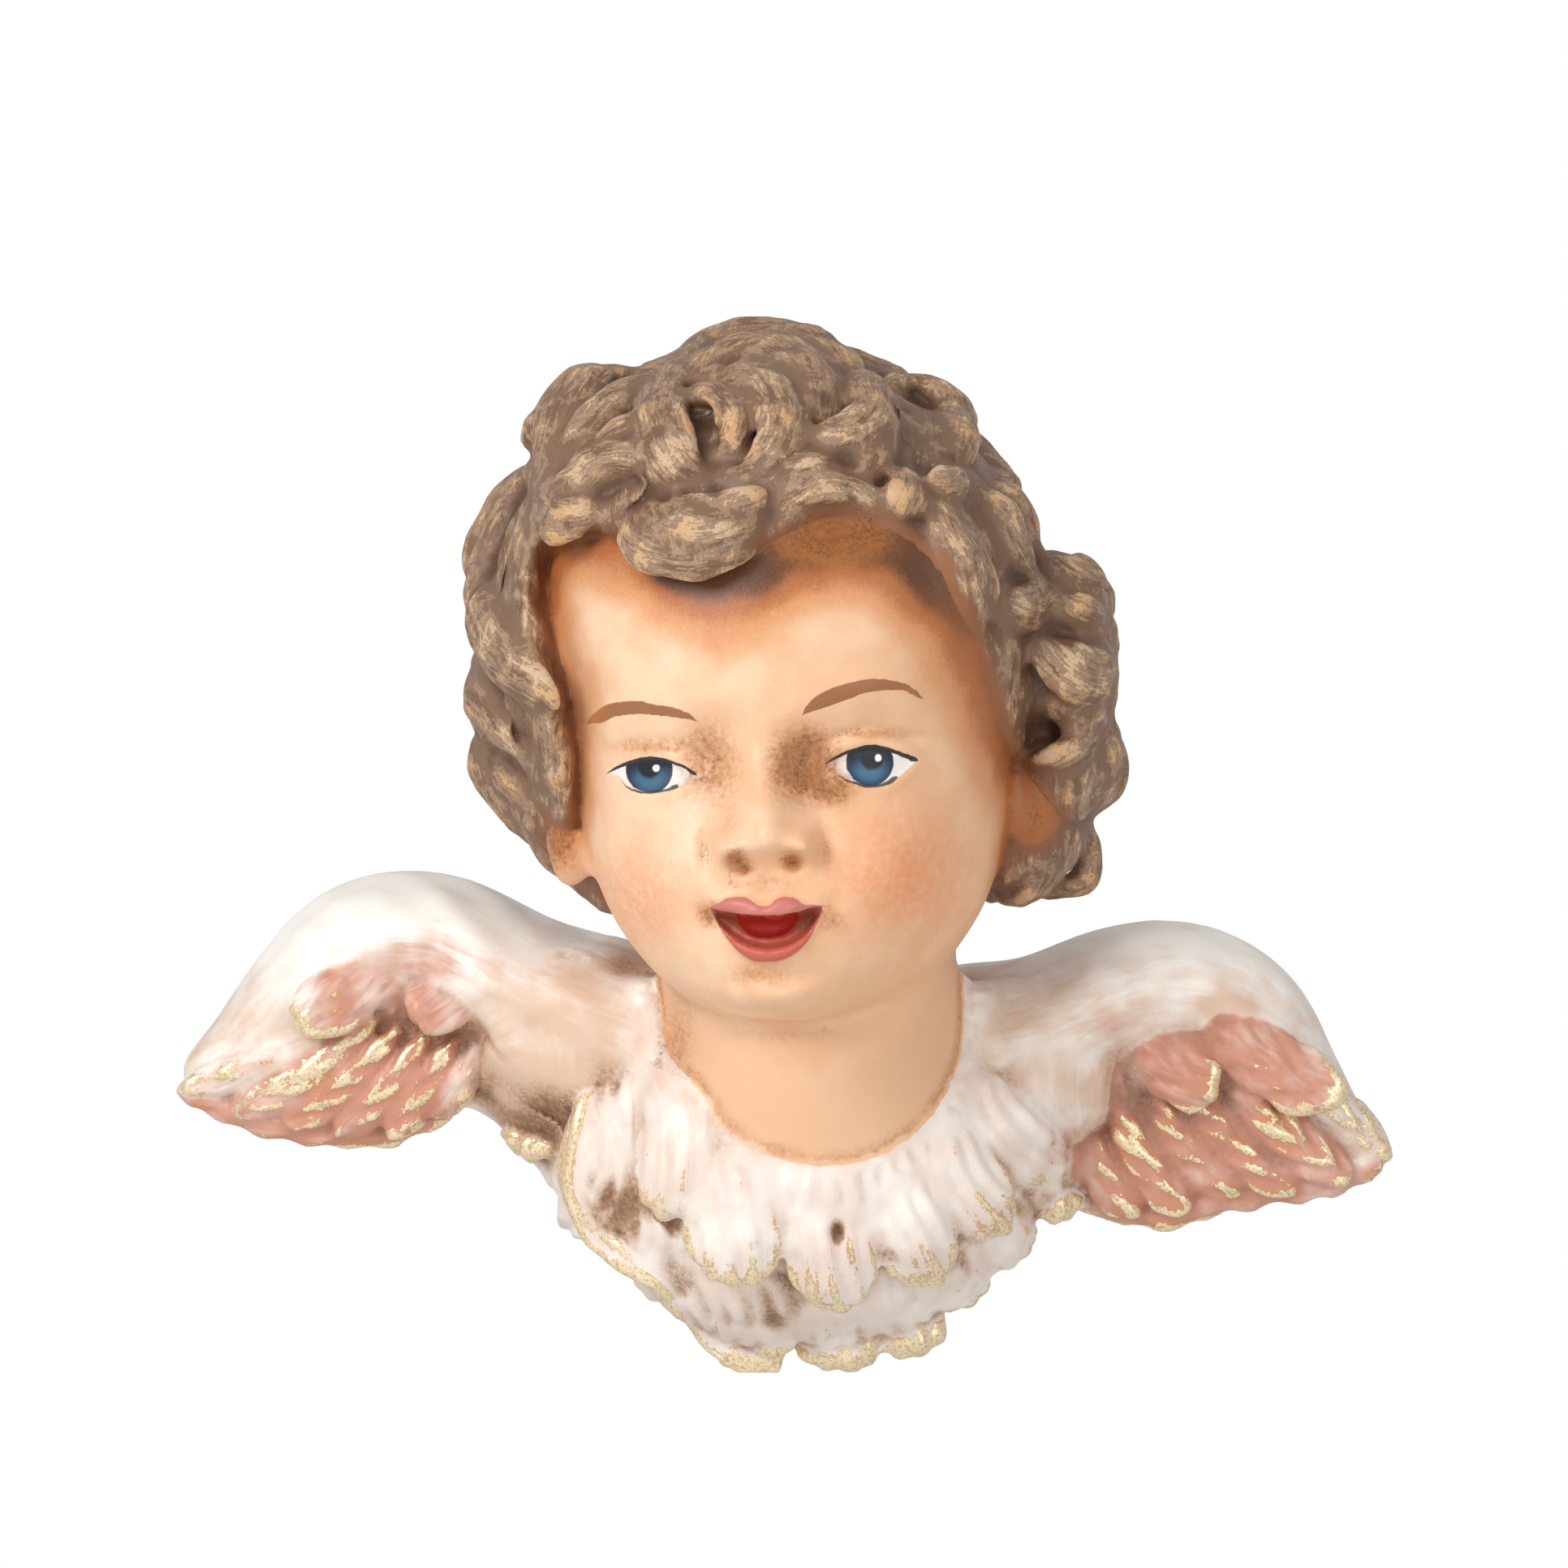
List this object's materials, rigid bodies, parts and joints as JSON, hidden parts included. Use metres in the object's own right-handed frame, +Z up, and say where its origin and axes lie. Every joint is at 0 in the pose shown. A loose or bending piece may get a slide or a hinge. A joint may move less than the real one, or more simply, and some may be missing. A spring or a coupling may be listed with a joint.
{
  "type": "cherub wall plaque",
  "caption": "Painted winged cherub head in high relief over a collar of feathers, cast as one piece with a flat back for hanging on a wall.",
  "frame": {"origin": "on the flat back, behind the base of the neck, where the plaque touches the wall", "axes": "+Y points out of the flat back into the wall, the face looks along -Y, +Z is up and +X runs along the span of the wings to the viewer's right"},
  "size_m": [0.1604, 0.0641, 0.1375],
  "materials": {
    "painted_plaster": "cast plaster, hand painted: satin flesh tones, matt brown hair with tan dry-brushing, white and salmon feathers with rubbed gold edges under a brown wash"
  },
  "bodies": {
    "root": {"cherub_plaque": "painted_plaster"}
  },
  "joints": []
}
